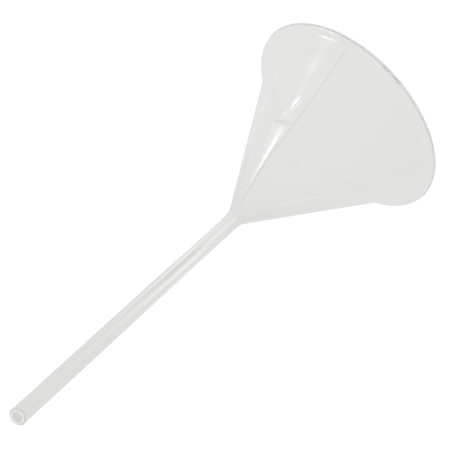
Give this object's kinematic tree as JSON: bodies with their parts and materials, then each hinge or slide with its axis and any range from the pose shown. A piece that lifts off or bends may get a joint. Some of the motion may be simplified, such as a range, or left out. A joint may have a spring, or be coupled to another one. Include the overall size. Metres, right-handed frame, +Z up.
{
  "type": "laboratory funnel",
  "caption": "Clear glass laboratory funnel: a 60 degree cone with a flared rim, sealed to a long thin stem with a slanted outlet.",
  "frame": {"origin": "centre of the rim's flat face, which the funnel stands on when it is put down mouth first", "axes": "+Z up the axis of the cone and stem, from the mouth towards the outlet; the slanted cut of the outlet faces -Y"},
  "size_m": [0.1, 0.1, 0.2005],
  "materials": {
    "rim_glass": "clear, fire-polished edge",
    "bowl_glass": "clear, glossy, with fine scratches",
    "neck_glass": "clear, melted seal",
    "stem_glass": "clear drawn tube",
    "outlet_glass": "clear, fire-polished cut"
  },
  "bodies": {
    "root": {"flared_rim": "rim_glass", "bowl_cone": "bowl_glass", "neck_seal": "neck_glass", "stem_tube": "stem_glass", "slant_cut_outlet": "outlet_glass"}
  },
  "joints": []
}
